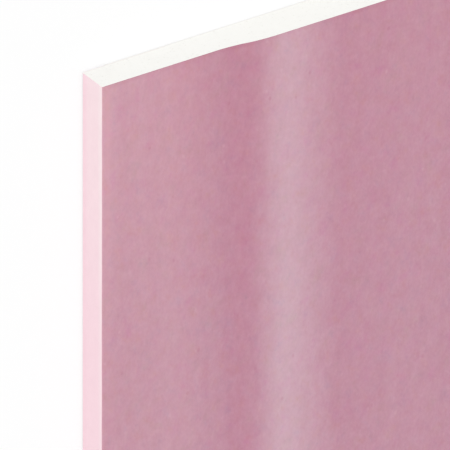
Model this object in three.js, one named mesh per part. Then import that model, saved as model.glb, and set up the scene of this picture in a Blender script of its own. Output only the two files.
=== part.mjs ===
// A full sheet of tapered-edge plasterboard: a gypsum core in two sheets of paper.
// Millimetres, +Z up. The sheet lies flat with its face up: X across, Y along, origin under its middle.
//
// The pink face paper covers the face, turns down round both long edges and laps under the core. The back
// paper is stuck over the laps and stops short of the long edges. Both ends are sawn square, so they show the
// core between its two papers. A recess along each long edge takes joint tape and filler.

import * as THREE from "three";

// The whole sheet
const SHEET_WIDTH = 1200;
const SHEET_LENGTH = 2400;
const SHEET_THICKNESS = 12.5;

// The recess along each long edge
const RECESS_DEPTH = 1.8;
const RECESS_FLOOR = 38; // from the long edge to where the face starts to rise
const RECESS_RISE = 21; // from there to the full thickness

// The papers
const FACE_PAPER = 0.35;
const BACK_PAPER = 0.35;
const LAP_WIDTH = 28; // how far the face paper reaches in under the core
const BACK_MARGIN = 8; // from the long edge to the edge of the back paper

// The bends of the face paper round each long edge
const FACE_BEND_RADIUS = 0.7;
const BACK_BEND_RADIUS = 0.6;
const BEND_STEPS = 6;
const RISE_STEPS = 14;

const FACE_PINK = 0xcb9aa8;
const GYPSUM_WHITE = 0xf6f5f0;
const BACK_IVORY = 0xdcd8cb;

// The heights that the layers share
const backTop = BACK_PAPER;
const halfWidth = SHEET_WIDTH / 2;

// The rise is a smooth double bend: a cubic curve that starts and ends level.
function rise(depth) {
  const foot = SHEET_THICKNESS - RECESS_DEPTH - depth;
  const crest = SHEET_THICKNESS - depth;
  const curve = new THREE.CubicBezierCurve(
    new THREE.Vector2(RECESS_FLOOR, foot),
    new THREE.Vector2(RECESS_FLOOR + RECESS_RISE / 2, foot),
    new THREE.Vector2(RECESS_FLOOR + RECESS_RISE / 2, crest),
    new THREE.Vector2(RECESS_FLOOR + RECESS_RISE, crest),
  );
  return curve.getPoints(RISE_STEPS);
}

// A quarter of a circle, run clockwise from its start angle.
function bend(middleX, middleZ, radius, startAngle) {
  const endAngle = startAngle - Math.PI / 2;
  const curve = new THREE.EllipseCurve(middleX, middleZ, radius, radius, startAngle, endAngle, true);
  return curve.getPoints(BEND_STEPS);
}

// One long edge seen in section, from the underside of the lap, up the edge and over the recess to the top of
// the rise. depth is how far inside the outer surface of the face paper the line runs. X is the distance
// from the long edge.
function edgeLine(depth) {
  const bottom = backTop + depth;
  const recess = SHEET_THICKNESS - RECESS_DEPTH - depth;
  const backRadius = BACK_BEND_RADIUS - depth;
  const faceRadius = FACE_BEND_RADIUS - depth;
  return [
    new THREE.Vector2(LAP_WIDTH, bottom),
    ...bend(BACK_BEND_RADIUS, bottom + backRadius, backRadius, -Math.PI / 2),
    ...bend(FACE_BEND_RADIUS, recess - faceRadius, faceRadius, Math.PI),
    ...rise(depth),
  ];
}

// The same line at both long edges, as one line from the left lap over the face to the right lap.
function wholeLine(depth) {
  const line = edgeLine(depth);
  const left = line.map((p) => new THREE.Vector2(p.x - halfWidth, p.y));
  const right = line.map((p) => new THREE.Vector2(halfWidth - p.x, p.y));
  return [...left, ...right.reverse()];
}

// A section drawn in X and Z, run along the whole sheet.
function alongSheet(outline) {
  const shape = new THREE.Shape(outline);
  const geometry = new THREE.ExtrudeGeometry(shape, { depth: SHEET_LENGTH, bevelEnabled: false });
  const across = new THREE.Vector3(1, 0, 0);
  const up = new THREE.Vector3(0, 0, 1);
  const along = new THREE.Vector3(0, -1, 0);
  geometry.applyMatrix4(new THREE.Matrix4().makeBasis(across, up, along));
  geometry.translate(0, SHEET_LENGTH / 2, 0);
  return geometry;
}

function piece(name, geometry, color, roughness) {
  const material = new THREE.MeshStandardMaterial({ color, roughness, metalness: 0 });
  const mesh = new THREE.Mesh(geometry, material);
  mesh.name = name;
  return mesh;
}

// The core fills the face paper, and its underside steps down between the laps to meet the back paper.
function gypsumCore() {
  const inner = wholeLine(FACE_PAPER);
  const stepX = halfWidth - LAP_WIDTH;
  const outline = [new THREE.Vector2(-stepX, backTop), ...inner, new THREE.Vector2(stepX, backTop)];
  return piece("gypsum_core", alongSheet(outline), GYPSUM_WHITE, 0.9);
}

// The face paper lies between its outer surface and the core.
function facePaper() {
  const outline = [...wholeLine(0), ...wholeLine(FACE_PAPER).reverse()];
  return piece("face_paper", alongSheet(outline), FACE_PINK, 0.75);
}

// The back paper lies flat under the core and both laps.
function backPaper() {
  const edgeX = halfWidth - BACK_MARGIN;
  const outline = [
    new THREE.Vector2(-edgeX, 0),
    new THREE.Vector2(-edgeX, backTop),
    new THREE.Vector2(edgeX, backTop),
    new THREE.Vector2(edgeX, 0),
  ];
  return piece("back_paper", alongSheet(outline), BACK_IVORY, 0.8);
}

const plasterboard = new THREE.Group();
plasterboard.name = "plasterboard";
plasterboard.add(gypsumCore(), facePaper(), backPaper());

export default plasterboard;
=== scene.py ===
"""Dresses a full sheet of tapered-edge plasterboard: pink face paper, gypsum core and ivory back paper.

Metres, +Z up. The sheet lies flat with its face up: X across, Y along, origin under its middle.
"""

import math
from collections import namedtuple

import bmesh
import bpy
from mathutils import Matrix, Vector


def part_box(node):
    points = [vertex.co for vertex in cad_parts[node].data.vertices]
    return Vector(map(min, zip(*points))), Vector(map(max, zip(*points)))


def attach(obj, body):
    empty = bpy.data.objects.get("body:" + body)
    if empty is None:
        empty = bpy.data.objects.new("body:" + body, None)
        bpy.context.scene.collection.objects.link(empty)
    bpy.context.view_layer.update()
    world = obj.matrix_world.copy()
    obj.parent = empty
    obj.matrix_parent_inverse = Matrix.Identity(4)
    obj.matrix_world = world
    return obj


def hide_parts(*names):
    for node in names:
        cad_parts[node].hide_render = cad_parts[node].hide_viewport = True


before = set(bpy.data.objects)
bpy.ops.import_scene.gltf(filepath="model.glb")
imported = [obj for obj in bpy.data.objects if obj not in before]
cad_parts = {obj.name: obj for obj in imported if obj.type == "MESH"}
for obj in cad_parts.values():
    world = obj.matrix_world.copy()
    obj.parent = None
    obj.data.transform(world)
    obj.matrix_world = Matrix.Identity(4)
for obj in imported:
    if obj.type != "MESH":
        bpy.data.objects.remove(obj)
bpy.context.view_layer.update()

bl_info = {
    "name": "Plasterboard Sheet",
    "version": (1, 0, 0),
    "blender": (4, 5, 0),
    "location": "View3D > Sidebar > Plasterboard",
    "description": "Makes and finishes a full sheet of tapered-edge plasterboard",
    "category": "Add Mesh",
}

MILLIMETRE = 0.001
BODY = "root"
DEPTH = "depth_in_paper"  # 0 on the outer side of the face paper and 1 on its inner side

# The outer sizes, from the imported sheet
PAPER_LOW, PAPER_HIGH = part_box("face_paper")
HALF_WIDTH = PAPER_HIGH.x
HALF_LENGTH = PAPER_HIGH.y
FACE_HEIGHT = PAPER_HIGH.z
LAP_UNDERSIDE = PAPER_LOW.z


# Settings


def colour_setting(name, description, default):
    return bpy.props.FloatVectorProperty(
        name=name, description=description, default=default, subtype="COLOR", min=0, max=1
    )


def length_setting(name, description, millimetres):
    return bpy.props.FloatProperty(
        name=name,
        description=description,
        default=millimetres * MILLIMETRE,
        min=0,
        precision=5,
        unit="LENGTH",
        subtype="DISTANCE",
    )


def share_setting(name, description, default):
    return bpy.props.FloatProperty(
        name=name, description=description, default=default, min=0, max=4, subtype="FACTOR"
    )


class FacePaperSettings(bpy.types.PropertyGroup):
    """Sizes and colours of the face paper"""

    thickness: length_setting("Thickness", "Thickness of the paper", 0.35)
    lap_width: length_setting("Lap width", "How far the paper reaches in under the core", 28)
    recess_depth: length_setting("Recess depth", "How far the recess lies below the face", 1.8)
    recess_floor: length_setting("Recess floor", "From the long edge to the start of the rise", 38)
    recess_rise: length_setting("Recess rise", "Width of the rise to the full thickness", 21)
    face_bend: length_setting("Face bend", "Radius of the bend at the face", 0.7)
    back_bend: length_setting("Back bend", "Radius of the bend at the back", 0.6)
    deep_pink: colour_setting("Deep pink", "Colour of the darkest streaks", (0.471, 0.19, 0.272))
    pale_pink: colour_setting("Pale pink", "Colour of the palest streaks", (0.617, 0.396, 0.468))
    warm_pink: colour_setting("Warm pink", "Colour that it turns to near its edges", (0.72, 0.27, 0.33))
    rich_tint: colour_setting("Rich tint", "Tint of blotches that took more dye", (1.0, 0.88, 0.985))
    poor_tint: colour_setting("Poor tint", "Tint of blotches that took less dye", (0.94, 1.0, 0.92))
    warm_tint: colour_setting("Warm tint", "Tint of the warmer fibres", (1.0, 0.96, 0.86))
    cool_tint: colour_setting("Cool tint", "Tint of the cooler fibres", (0.90, 0.965, 1.0))
    # The bound edge's pale pink is partly a painted sheen, and the bend pink is a painted highlight along
    # the bend to the face
    edge_pink: colour_setting("Edge pink", "Colour of the bound edge", (0.938, 0.685, 0.753))
    bend_highlight_pink: colour_setting("Bend pink", "Colour of the rubbed bend", (0.952, 0.79, 0.81))
    cut_pink: colour_setting("Cut pink", "Colour of the dyed ply where it is sawn", (0.42, 0.13, 0.20))
    cut_grey: colour_setting("Cut grey", "Colour of the plies under it", (0.90, 0.885, 0.85))
    dyed_ply: share_setting("Dyed ply", "Share of the thickness that is dyed", 0.5)


class FacePatternSettings(bpy.types.PropertyGroup):
    """How pale the bands of the face paper are, where the paler recess floor is painted light, the darker
    rise painted shade and the paler crest a painted highlight, and how strong its streaks, spots and fibres
    are
    """

    base_tone: share_setting("Base tone", "How pale the paper is before its bands are added", 0.363)
    field_tone: share_setting("Field tone", "How much paler the face between the recesses is", 0.07)
    # The recess floor's paleness and its paler middle are painted light
    recess_painted_light: share_setting("Recess tone", "How much paler the floor of the recess is", 0.175)
    floor_painted_light: share_setting("Floor band", "How much paler again the middle of that floor is", 0.06)
    # The darker rise is painted shade, and the paler crest is a painted highlight
    rise_painted_shade: share_setting("Dark band", "How much darker the rise is, where rollers burnish it", 0.31)
    painted_band_reach: length_setting("Dark reach", "From the middle of the dark band to its side", 11.6)
    crest_painted_highlight: share_setting("Pale band", "How much paler the crest of the rise is", 0.585)
    highlight_reach: length_setting("Pale reach", "From the middle of the pale band to its side", 20.2)
    fine_streaks: share_setting("Fine streaks", "Strength of the fine streaks", 0.12)
    mottle: share_setting("Mottle", "Strength of the soft spots", 0.34)
    speckle: share_setting("Speckle", "Strength of the fine dots", 0.14)
    fibres: share_setting("Fibres", "Strength of the fibres", 0.29)
    dye: share_setting("Dye", "Strength of the blotches that took more or less dye", 1)
    warmth: share_setting("Warmth", "Strength of the warmer and cooler fibres", 0.9)
    dark_flecks: share_setting("Dark flecks", "Strength of the dark flecks", 0.22)
    pale_flecks: share_setting("Pale flecks", "Strength of the pale flecks", 0.07)


class CoreSettings(bpy.types.PropertyGroup):
    """Colours and sizes of the sawn gypsum"""

    gypsum: colour_setting("Gypsum", "Colour of the sawn core", (0.936, 0.93, 0.90))
    pore: colour_setting("Pore", "Colour inside the pores", (0.80, 0.79, 0.75))
    pore_size: length_setting("Pore size", "Distance between neighbouring pores", 1.1)
    saw_pitch: length_setting("Saw pitch", "Distance between saw marks", 1.7)


class BackPaperSettings(bpy.types.PropertyGroup):
    """Colours of the back paper"""

    ivory: colour_setting("Ivory", "Main colour of the paper", (0.74, 0.71, 0.63))
    dull_ivory: colour_setting("Dull ivory", "Colour of its darker clouds", (0.62, 0.59, 0.51))
    fleck: colour_setting("Fleck", "Colour of the recycled fibres", (0.42, 0.38, 0.32))
    cut_ivory: colour_setting("Cut ivory", "Colour of its sawn edge", (0.885, 0.875, 0.85))


class StageSettings(bpy.types.PropertyGroup):
    """Light, floor and camera"""

    sky: share_setting("Sky", "Light from all round", 0.72)
    key: share_setting("Key", "Light of the main lamp on a surface that faces it", 0.36)
    key_softness: bpy.props.FloatProperty(
        name="Key softness",
        description="Apparent width of the main lamp",
        default=math.radians(40),
        subtype="ANGLE",
    )
    lens: bpy.props.FloatProperty(
        name="Lens", description="Focal length", default=1200, unit="CAMERA", subtype="DISTANCE_CAMERA"
    )
    distance: bpy.props.FloatProperty(
        name="Distance", description="From the camera to the sheet", default=4.2696, unit="LENGTH"
    )


# Shader nodes

# A Mix node's sockets when it mixes colours
MIX_AMOUNT, MIX_FIRST, MIX_SECOND, MIX_RESULT = 0, 6, 7, 2

# A pattern's grain: its sizes across, along and through the sheet in metres, its turn about the sheet's
# normal, how many finer layers it has and how strong they are
Grain = namedtuple("Grain", "sizes turn detail roughness", defaults=(0.0, 2.0, 0.5))


class Value:
    """A shader socket that Python arithmetic works on. Each operation adds a Math node."""

    def __init__(self, shader, socket):
        self.shader = shader
        self.socket = socket

    def math(self, operation, *operands, clamp=False):
        settings = {"operation": operation, "use_clamp": clamp}
        inputs = dict(enumerate(operands))
        return self.shader.add("ShaderNodeMath", settings, inputs).value()

    def __add__(self, other):
        return self.math("ADD", self, other)

    def __radd__(self, other):
        return self.math("ADD", other, self)

    def __sub__(self, other):
        return self.math("SUBTRACT", self, other)

    def __rsub__(self, other):
        return self.math("SUBTRACT", other, self)

    def __mul__(self, other):
        return self.math("MULTIPLY", self, other)

    def __rmul__(self, other):
        return self.math("MULTIPLY", other, self)

    def __truediv__(self, other):
        return self.math("DIVIDE", self, other)

    def __rtruediv__(self, other):
        return self.math("DIVIDE", other, self)

    def __abs__(self):
        return self.math("ABSOLUTE", self)

    def __lt__(self, other):
        return self.math("LESS_THAN", self, other)

    def __gt__(self, other):
        return self.math("GREATER_THAN", self, other)

    def clamped(self):
        return self.math("ADD", self, 0.0, clamp=True)

    def greatest(self, other):
        return self.math("MAXIMUM", self, other)

    def between(self, low, high):
        """Low where this is 0, high where it is 1 and in proportion elsewhere."""
        return low + (high - low) * self

    def step(self, start, end):
        """A smooth change from 0 where this is start to 1 where it is end."""
        settings = {"interpolation_type": "SMOOTHSTEP", "clamp": True}
        inputs = {"Value": self, "From Min": start, "From Max": end}
        return self.shader.add("ShaderNodeMapRange", settings, inputs).value()


class Made:
    """A node that a shader has made."""

    def __init__(self, shader, node):
        self.shader = shader
        self.node = node

    def value(self, output=0):
        return Value(self.shader, self.node.outputs[output])


class Shader:
    """The nodes of a material or a world. They are added by name, with their settings first."""

    def __init__(self, owner):
        self.owner = owner
        owner.use_nodes = True
        self.tree = owner.node_tree
        self.tree.nodes.clear()

    def add(self, kind, settings=None, inputs=None):
        node = self.tree.nodes.new(kind)
        for name, setting in (settings or {}).items():
            setattr(node, name, setting)
        for name, given in (inputs or {}).items():
            if isinstance(given, Value):
                self.tree.links.new(given.socket, node.inputs[name])
            else:
                node.inputs[name].default_value = given
        return Made(self, node)

    def place(self):
        """The point on the piece, as a vector."""
        return self.add("ShaderNodeTexCoord").value("Object")

    def axes(self, vector):
        split = self.add("ShaderNodeSeparateXYZ", inputs={0: vector})
        return split.value("X"), split.value("Y"), split.value("Z")

    def counted(self, place, grain):
        """The place, turned as the grain is and counted in its sizes."""
        turn = {"Vector": place, "Angle": grain.turn}
        turned = self.add("ShaderNodeVectorRotate", {"rotation_type": "Z_AXIS"}, turn).value()
        counts = tuple(1 / size for size in grain.sizes)
        inputs = {0: turned, 1: counts}
        return self.add("ShaderNodeVectorMath", {"operation": "MULTIPLY"}, inputs).value()

    def plain_noise(self, vector, detail, roughness):
        """Soft noise from 0 to 1, with one grain to each unit of the vector."""
        inputs = {"Vector": vector, "Scale": 1.0, "Detail": detail, "Roughness": roughness}
        return self.add("ShaderNodeTexNoise", {"noise_dimensions": "3D"}, inputs).value("Fac")

    def noise(self, place, grain):
        """Soft noise from 0 to 1."""
        return self.plain_noise(self.counted(place, grain), grain.detail, grain.roughness)

    def swing(self, place, grain):
        """Soft noise from -0.5 to 0.5."""
        return self.noise(place, grain) - 0.5

    def dots(self, place, grain):
        """The distance in grains to the nearest of many scattered dots, and its chance from 0 to 1."""
        settings = {"feature": "F1", "voronoi_dimensions": "3D"}
        inputs = {"Vector": self.counted(place, grain), "Scale": 1.0}
        cells = self.add("ShaderNodeTexVoronoi", settings, inputs)
        chance, _, _ = self.axes(cells.value("Color"))
        return cells.value("Distance"), chance

    def colour(self, given):
        """A socket as it is, or a plain colour with its alpha added."""
        return given if isinstance(given, Value) else (*given, 1)

    def mixed(self, kind, amount, first, second):
        settings = {"data_type": "RGBA", "blend_type": kind}
        inputs = {MIX_AMOUNT: amount, MIX_FIRST: self.colour(first), MIX_SECOND: self.colour(second)}
        return self.add("ShaderNodeMix", settings, inputs).value(MIX_RESULT)

    def mix(self, amount, first, second):
        """A colour between two others."""
        return self.mixed("MIX", amount, first, second)

    def tinted(self, colour, amount, tint):
        """The same colour, seen through that much of a tint."""
        return self.mixed("MULTIPLY", amount, colour, tint)

    def shaded(self, colour, factor):
        """The same colour, lighter or darker."""
        inputs = {0: colour, "Scale": factor}
        return self.add("ShaderNodeVectorMath", {"operation": "SCALE"}, inputs).value()

    def bump(self, height, depth):
        """The surface normal under relief of that depth in metres."""
        inputs = {"Height": height, "Distance": depth, "Strength": 1.0}
        return self.add("ShaderNodeBump", inputs=inputs).value()

    def finish(self, colour, roughness, normal, specular):
        """Joins the surface to the output, and gives back the material."""
        inputs = {
            "Base Color": colour,
            "Roughness": roughness,
            "Normal": normal,
            "Specular IOR Level": specular,
        }
        surface = self.add("ShaderNodeBsdfPrincipled", inputs=inputs).value()
        self.add("ShaderNodeOutputMaterial", inputs={"Surface": surface})
        return self.owner


def material_shader(name):
    """The nodes of a new material."""
    return Shader(bpy.data.materials.new(name))


# Finishes


def band(distance, middle, reach):
    """1 in the middle of a soft band and 0 from its reach outwards."""
    return abs(distance - middle).step(reach, 0)


# Both papers
FIBRE_WIDTH = 0.0004
FIBRE_TURNS = (0.0, math.radians(28), math.radians(-47))
PAPER_RELIEF = 0.00004
PAPER_ROUGHNESS = 0.85  # of the back paper and the sawn edge of the face paper
PAPER_SPECULAR = 0.3


def fibres(shader, place, length):
    """Short crossing fibres that run mostly along the sheet, from 0 to 1."""
    sizes = (FIBRE_WIDTH, length, FIBRE_WIDTH)
    along, leaning, crossing = (shader.noise(place, Grain(sizes, turn, 1.0)) for turn in FIBRE_TURNS)
    return (along + leaning + crossing) / 3


# The patterns of the face paper
STREAKS = Grain((0.034, 1.6, 1))
FINE_STREAKS = Grain((0.006, 0.35, 1), detail=1.0)
CLOUDS = Grain((0.06, 0.12, 1), detail=3.0)
MOTTLE = Grain((0.0028, 0.0042, 0.0028), detail=3.0, roughness=0.6)
SPECKLE = Grain((0.0009, 0.0013, 0.0009))
DYE = Grain((0.0045, 0.0065, 0.0045), turn=0.4, detail=4.0, roughness=0.75)
WARMTH = Grain((0.0040, 0.0055, 0.0040), turn=-0.5, detail=4.0, roughness=0.75)
FLECKS = Grain((0.0045, 0.0060, 0.0045))
LINE_WANDER = Grain((0.002, 0.012, 0.002))
FACE_FIBRE_LENGTH = 0.0030

# The middles of its bands of painted light, painted shade and painted highlight
FLOOR_BAND = 0.6  # in shares of the recess's floor
SHADE_BAND_MIDDLE = 0.6  # in shares of the rise
HIGHLIGHT_BAND_MIDDLE = 1.115  # the same, so it lies just past the crest

# Where it changes, from the long edge inwards: the start of each change and where it is whole
FLOOR_TONE = (1.19, 0.75)  # in shares of the floor
FIELD = (0.06, 0.16)
BESIDE_EDGE = (0.030, 0.012)
BESIDE_BEND = (0.007, 0)
RED_FLOOR = (0.042, 0.026)
RED_BEND = (0.006, 0.001)
WRAPPED = (0.00025, 0.00005)

# The same, from the sawn end inwards
NEAR_END = (0.11, -0.02)
# Over this span from the sawn end, the painted sheen and highlight on the bound edge grow stronger
HIGHLIGHT_NEAR_END = (0.10, 0)
# where the face darkens in a thin line along the sawn end
DARK_END_LINE = (0.0014, 0.0006)

# The painted highlight along the bend, on its face side, near the sawn end: its middle, from the long edge,
# and its reach
HIGHLIGHT_LINE_MIDDLE = 0.0018
HIGHLIGHT_LINE_REACH = 0.0022

# How much paler each mark is, or darker below 0. A pair is for two places, and it runs evenly between them.
END_TONE = (-0.035, 0.165)  # at the sawn end: away from the long edge and beside it
BEND_TONE = (0.06, 0.20)  # beside the bend: along the sheet and at the sawn end
HIGHLIGHT_LINE_TONE = 0.22
END_LINE_TONE = -0.09
STREAK_TONE = (0.08, 0.23)  # in the recess and in the field
CLOUD_TONE = (0.08, 0.26)  # the same

# How much redder it is
FLOOR_REDNESS = (0.07, 0.12)  # along the sheet and at the sawn end
BEND_REDNESS = (0.08, -0.02)  # the same
END_REDNESS = 0.08
HIGHLIGHT_LINE_REDNESS = 0.2

# How much lighter or darker its spots leave the finished colour
SPECKLE_SHADE = 0.08
MOTTLE_SHADE = 0.06

# Where its blotches start and are whole, in the noise that makes them
MORE = (0.50, 0.80)
LESS = (0.50, 0.20)

# Its flecks, from their edge to their middle in grains. The shares of them that show are dark and pale.
FLECK = (0.15, 0.06)
DARK_SHARE = 0.25
PALE_SHARE = 0.25

# Its relief, in shares of PAPER_RELIEF, and its roughness
MOTTLE_RELIEF = 0.6
FIBRE_RELIEF = 1.2
FACE_ROUGHNESS = 0.78
MOTTLE_ROUGHNESS = 0.1


class PaperPlace:
    """Where a point of the face paper lies: its distances in metres and its masks from 0 to 1."""

    def __init__(self, shader, place):
        x, y, z = shader.axes(place)
        from_end = HALF_LENGTH - abs(y)
        self.inwards = HALF_WIDTH - abs(x)
        self.height = z
        self.field = self.inwards.step(*FIELD)
        self.near_end = from_end.step(*NEAR_END)
        self.highlight_near_end = from_end.step(*HIGHLIGHT_NEAR_END)
        self.dark_end_line = from_end.step(*DARK_END_LINE)
        # A painted highlight on the face side of the bend, near the sawn end
        self.highlit = self.near_end * band(self.inwards, HIGHLIGHT_LINE_MIDDLE, HIGHLIGHT_LINE_REACH)


def painted_band_tone(paper, pattern, at):
    """How pale the face paper is at that distance from the long edge, with painted light on the recess
    floor, painted shade on the rise and a painted highlight just past its crest.
    """
    floor = paper.recess_floor
    rise = floor + paper.recess_rise * SHADE_BAND_MIDDLE
    crest = floor + paper.recess_rise * HIGHLIGHT_BAND_MIDDLE
    floor_start, floor_whole = (floor * share for share in FLOOR_TONE)
    tone = pattern.base_tone + at.field * pattern.field_tone
    tone = tone + at.inwards.step(floor_start, floor_whole) * pattern.recess_painted_light
    tone = tone + band(at.inwards, floor * FLOOR_BAND, pattern.painted_band_reach) * pattern.floor_painted_light
    tone = tone - band(at.inwards, rise, pattern.painted_band_reach) * pattern.rise_painted_shade
    return tone + band(at.inwards, crest, pattern.highlight_reach) * pattern.crest_painted_highlight


def edge_and_end_tone(at):
    """How much paler or darker the face paper is near its sawn end and beside its bend, with the painted
    highlight along the bend.
    """
    end = at.near_end * at.inwards.step(*BESIDE_EDGE).between(*END_TONE)
    bend = at.inwards.step(*BESIDE_BEND) * at.near_end.between(*BEND_TONE)
    return end + bend + at.highlit * HIGHLIGHT_LINE_TONE + at.dark_end_line * END_LINE_TONE


def redness(at):
    """How much redder the face paper is near its edges."""
    floor = at.inwards.step(*RED_FLOOR) * at.near_end.between(*FLOOR_REDNESS)
    bend = at.inwards.step(*RED_BEND) * at.near_end.between(*BEND_REDNESS)
    return floor + bend + at.near_end * END_REDNESS + at.highlit * HIGHLIGHT_LINE_REDNESS


def blotched(shader, place, paper, pattern, pink):
    """The pink where the paper took more or less dye, and where its fibres are warmer or cooler."""
    dye = shader.noise(place, DYE)
    pink = shader.tinted(pink, dye.step(*MORE) * pattern.dye, paper.rich_tint)
    pink = shader.tinted(pink, dye.step(*LESS) * pattern.dye, paper.poor_tint)
    warmth = shader.noise(place, WARMTH)
    pink = shader.tinted(pink, warmth.step(*MORE) * pattern.warmth, paper.warm_tint)
    return shader.tinted(pink, warmth.step(*LESS) * pattern.warmth, paper.cool_tint)


def flecked(shader, place, paper, pattern, pink):
    """The pink with a scatter of small dark flecks and pale ones."""
    distance, chance = shader.dots(place, FLECKS)
    fleck = distance.step(*FLECK)
    pink = shader.mix(fleck * (chance < DARK_SHARE) * pattern.dark_flecks, pink, paper.cut_pink)
    return shader.mix(fleck * (chance > 1 - PALE_SHARE) * pattern.pale_flecks, pink, paper.edge_pink)


# The bound edge, whose pale pink is partly a painted sheen, with a painted highlight along its bend to the
# face. Heights run up from the floor, and depths down from the recess.
LAP_HEIGHT = (0.004, 0.002)
FOOT_HEIGHT = (0.0012, 0.0040)
BEND_HIGHLIGHT_DEPTH = (0.0024, 0.0008)
WRAP_WANDER = 0.0001  # how far noise shifts the line where the edge starts
BEND_WANDER = 0.001  # and the lower side of the painted highlight at the bend

# How far it turns to the colour of the painted highlight at the bend
FOOT_SHARE = (0.25, 1)  # at its foot and above it
EDGE_HIGHLIGHT = (0.2, 0.7)  # along the sheet and at the sawn end
BEND_HIGHLIGHT = (0.38, 0.62)  # the same, at the bend

# How far it turns to the pink of the face, in spots and fibres
EDGE_SPOTS = 0.12
EDGE_MOTTLE = 1.6


def bound_edge_colour(shader, at, paper, line_wander, mottle, grain):
    """The colour of the bound edge, whose paleness is partly a painted sheen, palest in the painted
    highlight at the bend to the face.
    """
    depth = FACE_HEIGHT - paper.recess_depth - (at.height + line_wander * BEND_WANDER)
    side = at.height.step(*FOOT_HEIGHT).between(*FOOT_SHARE) * at.highlight_near_end.between(*EDGE_HIGHLIGHT)
    bend = depth.step(*BEND_HIGHLIGHT_DEPTH) * at.highlight_near_end.between(*BEND_HIGHLIGHT)
    edge = shader.mix((side + bend).clamped(), paper.edge_pink, paper.bend_highlight_pink)
    return shader.mix((0.5 + mottle * EDGE_MOTTLE + grain) * EDGE_SPOTS, edge, paper.pale_pink)


def face_paper_material(paper, pattern):
    shader = material_shader("pink_face_paper")
    place = shader.place()
    at = PaperPlace(shader, place)
    mottle = shader.swing(place, MOTTLE)
    speckle = shader.swing(place, SPECKLE)
    grain = fibres(shader, place, FACE_FIBRE_LENGTH) - 0.5
    line_wander = shader.swing(place, LINE_WANDER)

    # Painted bands of light, shade and highlight, paler and darker marks near the edges and ends, streaks
    # that run along the sheet, and spots and fibres all over
    paleness = painted_band_tone(paper, pattern, at) + edge_and_end_tone(at)
    paleness = paleness + shader.swing(place, STREAKS) * at.field.between(*STREAK_TONE)
    paleness = paleness + shader.swing(place, FINE_STREAKS) * pattern.fine_streaks
    paleness = paleness + shader.swing(place, CLOUDS) * at.field.between(*CLOUD_TONE)
    paleness = paleness + mottle * pattern.mottle + speckle * pattern.speckle + grain * pattern.fibres

    pink = shader.mix(paleness.clamped(), paper.deep_pink, paper.pale_pink)
    pink = shader.mix(redness(at), pink, paper.warm_pink)
    pink = blotched(shader, place, paper, pattern, pink)
    pink = shader.shaded(pink, 1 + speckle * SPECKLE_SHADE + mottle * MOTTLE_SHADE)
    pink = flecked(shader, place, paper, pattern, pink)

    edge = bound_edge_colour(shader, at, paper, line_wander, mottle, grain)
    wrapped = (at.inwards + line_wander * WRAP_WANDER).step(*WRAPPED).greatest(at.height.step(*LAP_HEIGHT))
    colour = shader.mix(wrapped, pink, edge)

    relief = mottle * MOTTLE_RELIEF + grain * FIBRE_RELIEF
    roughness = FACE_ROUGHNESS + mottle * MOTTLE_ROUGHNESS
    bump = shader.bump(relief, PAPER_RELIEF)
    return shader.finish(colour, roughness.clamped(), bump, PAPER_SPECULAR)


# The sawn edge of the face paper
TORN = Grain((0.0008, 0.0008, 0.0008))
TEAR = 0.3  # how far tearing shifts the line between the plies, as a share of the paper
PLY_LINE = (0.7, 1.3)  # where that line starts and ends, in shares of the dyed ply
LAP_CUT = (0.0012, 0.0007)  # heights
LAP_DUST = 0.8  # how far dust hides the dyed ply of the lap
FACE_CUT = (0.0003, 0.0008)  # from the long edge
EDGE_CUT = (0.002, 0.008)  # heights
CUT_RELIEF = 0.00003


def cut_paper_material(paper):
    """The dyed ply outside, and the undyed plies under it."""
    shader = material_shader("sawn_face_paper")
    place = shader.place()
    x, _, z = shader.axes(place)
    depth = shader.add("ShaderNodeAttribute", {"attribute_name": DEPTH}).value("Fac")
    torn = shader.swing(place, TORN)
    line_start, line_end = (paper.dyed_ply * share for share in PLY_LINE)
    undyed = (depth + torn * TEAR).step(line_start, line_end)
    undyed = undyed.greatest(z.step(*LAP_CUT) * LAP_DUST)
    on_face = (HALF_WIDTH - abs(x)).step(*FACE_CUT) * z.step(*EDGE_CUT)
    # Along the bound edge, the sawn dyed ply takes the pale pink of the painted highlight
    dyed = shader.mix(on_face, paper.bend_highlight_pink, paper.cut_pink)
    colour = shader.mix(undyed, dyed, paper.cut_grey)
    return shader.finish(colour, PAPER_ROUGHNESS, shader.bump(torn, CUT_RELIEF), PAPER_SPECULAR)


# The sawn core. A hole's edge and its middle are in shares of the distance between two holes.
PORE = (0.30, 0.10)
PINHOLE = (0.26, 0.08)
PINHOLES_TO_PORE = 2.6
PINHOLE_DEPTH = 0.4
SAW_DETAIL = 2.0  # how many finer layers the saw marks have
SAW_FINENESS = 0.5  # and how strong they are
SAW_WANDER = Grain((0.03, 0.03, 0.03), detail=1.0)
SAW_SHIFT = 2  # how far that shifts the saw marks, in marks
SAW_SLANT = 0.35
GYPSUM_CLOUDS = Grain((0.012, 0.012, 0.012), detail=3.0)

# How much each of them darkens it, and how high or deep it is in shares of GYPSUM_RELIEF
PORE_SHADE, PORE_RELIEF = 0.55, 0.5
PINHOLE_SHADE, PINHOLE_RELIEF = 0.3, 0.3
SAW_SHADE, SAW_RELIEF = 0.22, 0.35
CLOUD_SHADE = 0.3
GYPSUM_RELIEF = 0.00012
GYPSUM_ROUGHNESS = 0.92
GYPSUM_SPECULAR = 0.2


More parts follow.
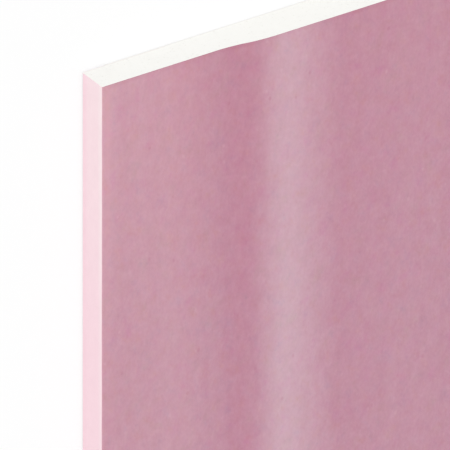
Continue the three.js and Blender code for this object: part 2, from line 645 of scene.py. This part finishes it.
def gypsum_material(core):
    shader = material_shader("sawn_gypsum")
    place = shader.place()
    x, _, z = shader.axes(place)
    to_pore, chance = shader.dots(place, Grain((core.pore_size,) * 3))
    to_pinhole, _ = shader.dots(place, Grain((core.pore_size / PINHOLES_TO_PORE,) * 3))
    pores = to_pore.step(*PORE) * chance
    pinholes = to_pinhole.step(*PINHOLE) * PINHOLE_DEPTH
    stroke = (x + z * SAW_SLANT) / core.saw_pitch + shader.noise(place, SAW_WANDER) * SAW_SHIFT
    across_strokes = shader.add("ShaderNodeCombineXYZ", inputs={0: stroke}).value()
    marks = shader.plain_noise(across_strokes, SAW_DETAIL, SAW_FINENESS) - 0.5
    clouds = shader.swing(place, GYPSUM_CLOUDS)
    hollow = pores * PORE_SHADE + pinholes * PINHOLE_SHADE + marks * SAW_SHADE + clouds * CLOUD_SHADE
    colour = shader.mix(hollow.clamped(), core.gypsum, core.pore)
    relief = marks * SAW_RELIEF - pores * PORE_RELIEF - pinholes * PINHOLE_RELIEF
    bump = shader.bump(relief, GYPSUM_RELIEF)
    return shader.finish(colour, GYPSUM_ROUGHNESS, bump, GYPSUM_SPECULAR)


# The back paper
BACK_STREAKS = Grain((0.03, 1.2, 1))
BACK_CLOUDS = Grain((0.006, 0.010, 0.006), detail=3.0)
BACK_FIBRE_LENGTH = 0.0035
BACK_FLECKS = Grain((0.004, 0.007, 0.004), turn=math.radians(20))
BACK_FLECK = (0.11, 0.04)  # from its edge to its middle, in grains
BACK_FLECK_SHARE = 0.3
BACK_FLECK_STRENGTH = 0.5
BACK_STREAK_TONE = 0.9
BACK_CLOUD_TONE = 0.7
BACK_CLOUD_RELIEF = 0.5
BACK_CUT = (0.00006, 0.00002)  # from the sawn end


def back_paper_material(back):
    shader = material_shader("ivory_back_paper")
    place = shader.place()
    _, y, _ = shader.axes(place)
    clouds = shader.swing(place, BACK_CLOUDS)
    grain = fibres(shader, place, BACK_FIBRE_LENGTH)
    tone = shader.swing(place, BACK_STREAKS) * BACK_STREAK_TONE + clouds * BACK_CLOUD_TONE + grain
    colour = shader.mix(tone.clamped(), back.ivory, back.dull_ivory)
    distance, chance = shader.dots(place, BACK_FLECKS)
    fleck = distance.step(*BACK_FLECK) * (chance < BACK_FLECK_SHARE)
    colour = shader.mix(fleck * BACK_FLECK_STRENGTH, colour, back.fleck)
    sawn = (HALF_LENGTH - abs(y)).step(*BACK_CUT)
    colour = shader.mix(sawn, colour, back.cut_ivory)
    bump = shader.bump(grain + clouds * BACK_CLOUD_RELIEF, PAPER_RELIEF)
    return shader.finish(colour, PAPER_ROUGHNESS, bump, PAPER_SPECULAR)


# Meshes

SAME = 1e-6  # how close two places are that count as one
BACK_BEND_SEGMENTS = 8
FACE_BEND_SEGMENTS = 12
RISE_BEND_SEGMENTS = 14
RISE_BEND = 0.765  # how far each bend of the rise reaches over half the slope, whose middle stays straight
SUPPORT = 0.0004  # from a bend to the cut that keeps the flat beside it flat in the shading
LENGTHS = 24  # parts that the paper is cut into along the sheet, so that no face is as long as it is
SHARP_ANGLE = math.radians(40)


def long_edges(bm, x, z):
    """The edges along the sheet at that place in the section, on either side."""
    return [
        edge
        for edge in bm.edges
        if all(abs(abs(v.co.x) - x) < SAME and abs(v.co.z - z) < SAME for v in edge.verts)
    ]


def round_off(bm, x, z, offset, segments):
    edges = long_edges(bm, x, z)
    bmesh.ops.bevel(
        bm,
        geom=edges,
        offset=offset,
        offset_type="OFFSET",
        segments=segments,
        profile=0.5,
        affect="EDGES",
        material=-1,
    )


def cut_across(bm, point, normal):
    geometry = [*bm.verts, *bm.edges, *bm.faces]
    bmesh.ops.bisect_plane(bm, geom=geometry, plane_co=point, plane_no=normal)


def folded_strip(section):
    """A strip along the sheet, with that section in X and Z."""
    bm = bmesh.new()
    verts = [bm.verts.new((x, -HALF_LENGTH, z)) for x, z in section]
    edges = [bm.edges.new(pair) for pair in zip(verts, verts[1:])]
    swept = bmesh.ops.extrude_edge_only(bm, edges=edges)["geom"]
    moved = [item for item in swept if isinstance(item, bmesh.types.BMVert)]
    bmesh.ops.translate(bm, verts=moved, vec=(0, 2 * HALF_LENGTH, 0))
    return bm


def face_paper_mesh(paper):
    """The outer side of the paper: a folded strip whose bends are rounded."""
    recess = FACE_HEIGHT - paper.recess_depth
    middle = paper.recess_floor + paper.recess_rise / 2
    half_slope = paper.recess_rise / 4
    foot = HALF_WIDTH - (middle - half_slope)
    crest = HALF_WIDTH - (middle + half_slope)
    side = [
        (HALF_WIDTH - paper.lap_width, LAP_UNDERSIDE),
        (HALF_WIDTH, LAP_UNDERSIDE),
        (HALF_WIDTH, recess),
        (foot, recess),
        (crest, FACE_HEIGHT),
    ]
    bm = folded_strip([(-x, z) for x, z in side] + [(x, z) for x, z in reversed(side)])

    round_off(bm, HALF_WIDTH, LAP_UNDERSIDE, paper.back_bend, BACK_BEND_SEGMENTS)
    round_off(bm, HALF_WIDTH, recess, paper.face_bend, FACE_BEND_SEGMENTS)
    reach = math.hypot(2 * half_slope, paper.recess_depth) / 2 * RISE_BEND
    round_off(bm, foot, recess, reach, RISE_BEND_SEGMENTS)
    round_off(bm, crest, FACE_HEIGHT, reach, RISE_BEND_SEGMENTS)

    inner = HALF_WIDTH - paper.face_bend - SUPPORT
    for x in (-inner, inner):
        cut_across(bm, (x, 0, 0), (1, 0, 0))
    for z in (recess - paper.face_bend - SUPPORT, LAP_UNDERSIDE + paper.back_bend + SUPPORT):
        cut_across(bm, (0, 0, z), (0, 0, 1))
    for i in range(1, LENGTHS):
        cut_across(bm, (0, HALF_LENGTH * (2 * i / LENGTHS - 1), 0), (0, 1, 0))

    bmesh.ops.recalc_face_normals(bm, faces=bm.faces)
    return bm


def thicken(bm, thickness):
    """Adds the inner side of the paper, closes its edges and notes which side is which."""
    depth = bm.verts.layers.float.new(DEPTH)
    outer = set(bm.verts)
    bmesh.ops.solidify(bm, geom=bm.faces[:], thickness=thickness)
    bmesh.ops.recalc_face_normals(bm, faces=bm.faces)
    for vert in bm.verts:
        vert[depth] = int(vert not in outer)


def sharpen(bm):
    """Shades the faces smoothly, apart from the sharp edges between them."""
    for face in bm.faces:
        face.smooth = True
    for edge in bm.edges:
        edge.smooth = edge.calc_face_angle(0) < SHARP_ANGLE


def mark_sawn_ends(bm):
    """Gives the second material to the faces that look along the sheet."""
    for face in bm.faces:
        face.material_index = round(abs(face.normal.y))


def finished(bm, name, materials):
    mesh = bpy.data.meshes.new(name)
    bm.to_mesh(mesh)
    bm.free()
    for material in materials:
        mesh.materials.append(material)
    piece = bpy.data.objects.new(name, mesh)
    bpy.context.scene.collection.objects.link(piece)
    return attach(piece, BODY)


def dress(node, material):
    """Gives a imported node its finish."""
    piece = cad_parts[node]
    piece.data.materials.clear()
    piece.data.materials.append(material)


# Stage

FLOOR_HALF = 100  # metres, far enough for its edge never to show
FLOOR_DROP = 0.0002  # keeps the floor clear of the back paper
FLOOR_GLOW = 0.75  # how far it looks plain white: the rest is its own white in light and shadow
FLOOR_WHITE = 0.97
KEY_AZIMUTH = math.radians(-135)
KEY_ELEVATION = math.radians(52)
AIM = Vector((-0.55925, 1.14355, 0.01243))  # by the corner that the camera looks down on
VIEW_AZIMUTH = math.radians(-135.709)
VIEW_ELEVATION = math.radians(46.153)
VIEW_ROLL = math.radians(0.314)
SENSOR_WIDTH = 36  # millimetres
CLIP_START = 0.05
CLIP_END = 400


def towards(azimuth, elevation):
    """The direction out to a camera or lamp at that azimuth and elevation."""
    flat = math.cos(elevation)
    return Vector((math.sin(azimuth) * flat, -math.cos(azimuth) * flat, math.sin(elevation)))


def seen_white(shader):
    """1 for camera, mirror and glass rays, which see the stage as white."""
    path = shader.add("ShaderNodeLightPath")
    seen = path.value("Is Camera Ray")
    return seen.greatest(path.value("Is Glossy Ray")).greatest(path.value("Is Transmission Ray"))


def floor_material():
    shader = material_shader("white_floor")
    white = (FLOOR_WHITE, FLOOR_WHITE, FLOOR_WHITE, 1)
    plain = shader.add("ShaderNodeBsdfDiffuse", inputs={"Color": white}).value()
    glow = shader.add("ShaderNodeEmission", inputs={"Color": (1, 1, 1, 1)}).value()
    amount = seen_white(shader) * FLOOR_GLOW
    mixed = shader.add("ShaderNodeMixShader", inputs={0: amount, 1: plain, 2: glow}).value()
    shader.add("ShaderNodeOutputMaterial", inputs={"Surface": mixed})
    return shader.owner


def make_floor():
    bm = bmesh.new()
    bmesh.ops.create_grid(bm, x_segments=1, y_segments=1, size=FLOOR_HALF)
    bmesh.ops.translate(bm, verts=bm.verts, vec=(0, 0, -FLOOR_DROP))
    mesh = bpy.data.meshes.new("floor")
    bm.to_mesh(mesh)
    bm.free()
    mesh.materials.append(floor_material())
    floor = bpy.data.objects.new("floor", mesh)
    bpy.context.scene.collection.objects.link(floor)


def make_sky(stage):
    world = bpy.data.worlds.new("studio")
    bpy.context.scene.world = world
    shader = Shader(world)
    strength = seen_white(shader).between(stage.sky, 1)
    sky = shader.add("ShaderNodeBackground", inputs={"Color": (1, 1, 1, 1), "Strength": strength})
    shader.add("ShaderNodeOutputWorld", inputs={"Surface": sky.value()})


def make_key(stage):
    lamp = bpy.data.lights.new("key", "SUN")
    lamp.energy = stage.key * math.pi
    lamp.angle = stage.key_softness
    key = bpy.data.objects.new("key", lamp)
    key.rotation_euler = towards(KEY_AZIMUTH, KEY_ELEVATION).to_track_quat("Z", "Y").to_euler()
    bpy.context.scene.collection.objects.link(key)


def make_camera(stage):
    """Looks down on one corner of the sheet, with the sheet's length upright in view."""
    back = towards(VIEW_AZIMUTH, VIEW_ELEVATION)
    right = Vector((0, 1, 0)).cross(back).normalized()
    upright = Matrix((right, back.cross(right), back)).transposed()
    camera_data = bpy.data.cameras.new("camera")
    camera_data.type = "PERSP"
    camera_data.lens = stage.lens
    camera_data.sensor_width = SENSOR_WIDTH
    camera_data.clip_start = CLIP_START
    camera_data.clip_end = CLIP_END
    camera = bpy.data.objects.new("camera", camera_data)
    camera.location = AIM + back * stage.distance
    camera.rotation_euler = (upright @ Matrix.Rotation(VIEW_ROLL, 3, "Z")).to_euler()
    bpy.context.scene.collection.objects.link(camera)
    bpy.context.scene.camera = camera


# Operators and panel


class PLASTERBOARD_OT_face_paper(bpy.types.Operator):
    """Make the pink face paper, folded round both long edges"""

    bl_idname = "plasterboard.face_paper"
    bl_label = "Face Paper"

    def execute(self, context):
        paper = context.scene.plasterboard_face_paper
        pattern = context.scene.plasterboard_face_pattern
        bm = face_paper_mesh(paper)
        thicken(bm, paper.thickness)
        sharpen(bm)
        mark_sawn_ends(bm)
        materials = [face_paper_material(paper, pattern), cut_paper_material(paper)]
        piece = finished(bm, "pink_face_paper", materials)
        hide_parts("face_paper")
        return {"FINISHED"}


class PLASTERBOARD_OT_core(bpy.types.Operator):
    """Finish the sawn gypsum core"""

    bl_idname = "plasterboard.core"
    bl_label = "Gypsum Core"

    def execute(self, context):
        dress("gypsum_core", gypsum_material(context.scene.plasterboard_core))
        return {"FINISHED"}


class PLASTERBOARD_OT_back_paper(bpy.types.Operator):
    """Finish the ivory back paper"""

    bl_idname = "plasterboard.back_paper"
    bl_label = "Back Paper"

    def execute(self, context):
        dress("back_paper", back_paper_material(context.scene.plasterboard_back_paper))
        return {"FINISHED"}


class PLASTERBOARD_OT_stage(bpy.types.Operator):
    """Make the floor, the light and the camera"""

    bl_idname = "plasterboard.stage"
    bl_label = "Stage"

    def execute(self, context):
        stage = context.scene.plasterboard_stage
        context.scene.view_settings.view_transform = "Standard"
        make_floor()
        make_sky(stage)
        make_key(stage)
        make_camera(stage)
        return {"FINISHED"}


class PLASTERBOARD_PT_sheet(bpy.types.Panel):
    """The plasterboard sheet and its stage"""

    bl_label = "Plasterboard"
    bl_idname = "PLASTERBOARD_PT_sheet"
    bl_space_type = "VIEW_3D"
    bl_region_type = "UI"
    bl_category = "Plasterboard"

    def draw(self, context):
        for operator in OPERATORS:
            self.layout.operator(operator.bl_idname)


SETTINGS = {
    "plasterboard_face_paper": FacePaperSettings,
    "plasterboard_face_pattern": FacePatternSettings,
    "plasterboard_core": CoreSettings,
    "plasterboard_back_paper": BackPaperSettings,
    "plasterboard_stage": StageSettings,
}
OPERATORS = (
    PLASTERBOARD_OT_face_paper,
    PLASTERBOARD_OT_core,
    PLASTERBOARD_OT_back_paper,
    PLASTERBOARD_OT_stage,
)


def register():
    for name, group in SETTINGS.items():
        bpy.utils.register_class(group)
        setattr(bpy.types.Scene, name, bpy.props.PointerProperty(type=group))
    for operator in OPERATORS:
        bpy.utils.register_class(operator)
    bpy.utils.register_class(PLASTERBOARD_PT_sheet)


def unregister():
    bpy.utils.unregister_class(PLASTERBOARD_PT_sheet)
    for operator in reversed(OPERATORS):
        bpy.utils.unregister_class(operator)
    for name, group in SETTINGS.items():
        delattr(bpy.types.Scene, name)
        bpy.utils.unregister_class(group)


def main():
    register()
    bpy.ops.plasterboard.face_paper()
    bpy.ops.plasterboard.core()
    bpy.ops.plasterboard.back_paper()
    bpy.ops.plasterboard.stage()


if __name__ == "__main__":
    main()
